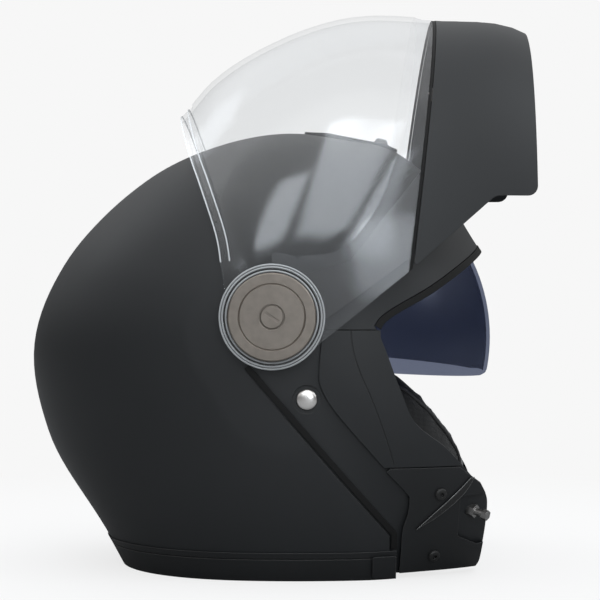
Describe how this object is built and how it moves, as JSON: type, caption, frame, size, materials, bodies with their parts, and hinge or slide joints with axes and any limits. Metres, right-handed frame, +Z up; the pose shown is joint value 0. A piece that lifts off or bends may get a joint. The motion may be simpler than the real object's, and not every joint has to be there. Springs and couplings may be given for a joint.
{
  "type": "flip-up motorcycle helmet",
  "caption": "Satin black flip-up motorcycle helmet with its chin bar and clear visor raised on side hinges, a lowered smoked sun visor, latch pins and a padded liner.",
  "frame": {"origin": "centre of the bounding box at the level the base trim rests on", "axes": "+X to the front of the helmet, +Y to the wearer's left, +Z up"},
  "size_m": [0.3034, 0.2596, 0.3368],
  "materials": {
    "satin_black": "satin black lacquer on moulded plastic",
    "trim_plastic": "fine-grained black moulding",
    "rubber": "soft black",
    "impact_foam": "black expanded foam",
    "pad_cloth": "black brushed knit over foam",
    "clear_visor": "clear polycarbonate",
    "smoked_visor": "blue-grey smoked polycarbonate",
    "gunmetal": "warm grey metallic",
    "polished_steel": "polished",
    "black_nylon": "black nylon",
    "grey_knob": "grey moulding"
  },
  "bodies": {
    "helmet": {"outer_shell": "satin_black", "base_trim": "trim_plastic", "edge_clip_left": "trim_plastic", "edge_clip_right": "trim_plastic", "face_trim_left": "trim_plastic", "face_trim_right": "trim_plastic", "latch_cover_left": "trim_plastic", "latch_cover_right": "trim_plastic", "slider_track": "trim_plastic", "brow_trim": "rubber", "groove_seal_left": "rubber", "groove_seal_right": "rubber", "impact_liner": "impact_foam", "crown_pad": "pad_cloth", "cheek_pad_left": "pad_cloth", "cheek_pad_right": "pad_cloth", "neck_roll": "pad_cloth", "pivot_cover_left": "gunmetal", "pivot_cover_right": "gunmetal", "coin_screw_left": "gunmetal", "coin_screw_right": "gunmetal", "striker_pin_left": "gunmetal", "striker_pin_right": "gunmetal", "side_stud_left": "polished_steel", "side_stud_right": "polished_steel", "sun_visor_pin_left": "polished_steel", "sun_visor_pin_right": "polished_steel", "cover_screw_upper_left": "black_nylon", "cover_screw_upper_right": "black_nylon", "cover_screw_lower_left": "black_nylon", "cover_screw_lower_right": "black_nylon", "pivot_base_left": "black_nylon", "pivot_base_right": "black_nylon"},
    "chin_bar": {"chin_bar_shell": "satin_black", "chin_vent": "trim_plastic", "eyeport_seal": "rubber", "chin_bar_arm_left": "polished_steel", "chin_bar_arm_right": "polished_steel", "chin_liner": "impact_foam"},
    "visor": {"clear_visor": "clear_visor"},
    "sun_visor": {"sun_visor": "smoked_visor"},
    "slider_knob": {"slider_knob": "grey_knob"},
    "release_button": {"release_button": "trim_plastic"},
    "latch_hooks": {"latch_hook_left": "polished_steel", "latch_hook_right": "polished_steel"}
  },
  "joints": [
    {"name": "chin_bar_flip", "type": "hinge", "parent": "helmet", "child": "chin_bar", "pos_m": [-0.0027, 0, 0.155], "axis": [0, 1, 0], "range_deg": [0, 90]},
    {"name": "visor_lift", "type": "hinge", "parent": "chin_bar", "child": "visor", "pos_m": [-0.0027, 0, 0.155], "axis": [0, -1, 0], "range_deg": [0, 45]},
    {"name": "sun_visor_turn", "type": "hinge", "parent": "helmet", "child": "sun_visor", "pos_m": [0.0227, 0, 0.13925], "axis": [0, -1, 0], "range_deg": [0, 40]},
    {"name": "slider_travel", "type": "slide", "parent": "helmet", "child": "slider_knob", "axis": [-0.9822, 0, 0.1878], "range_m": [0, 0.024]},
    {"name": "button_press", "type": "slide", "parent": "chin_bar", "child": "release_button", "axis": [-1, 0, 0], "range_m": [0, 0.0035], "stiffness_N_per_m": 1500, "springref_m": -0.001},
    {"name": "hook_turn", "type": "hinge", "parent": "chin_bar", "child": "latch_hooks", "pos_m": [0.1033, 0, 0.295], "axis": [0, 1, 0], "range_deg": [0, 12]}
  ],
  "couplings": [
    {"joint": "slider_travel", "follows": "sun_visor_turn", "m_per_rad": 0.034375},
    {"joint": "hook_turn", "follows": "button_press", "rad_per_m": 59.8}
  ]
}
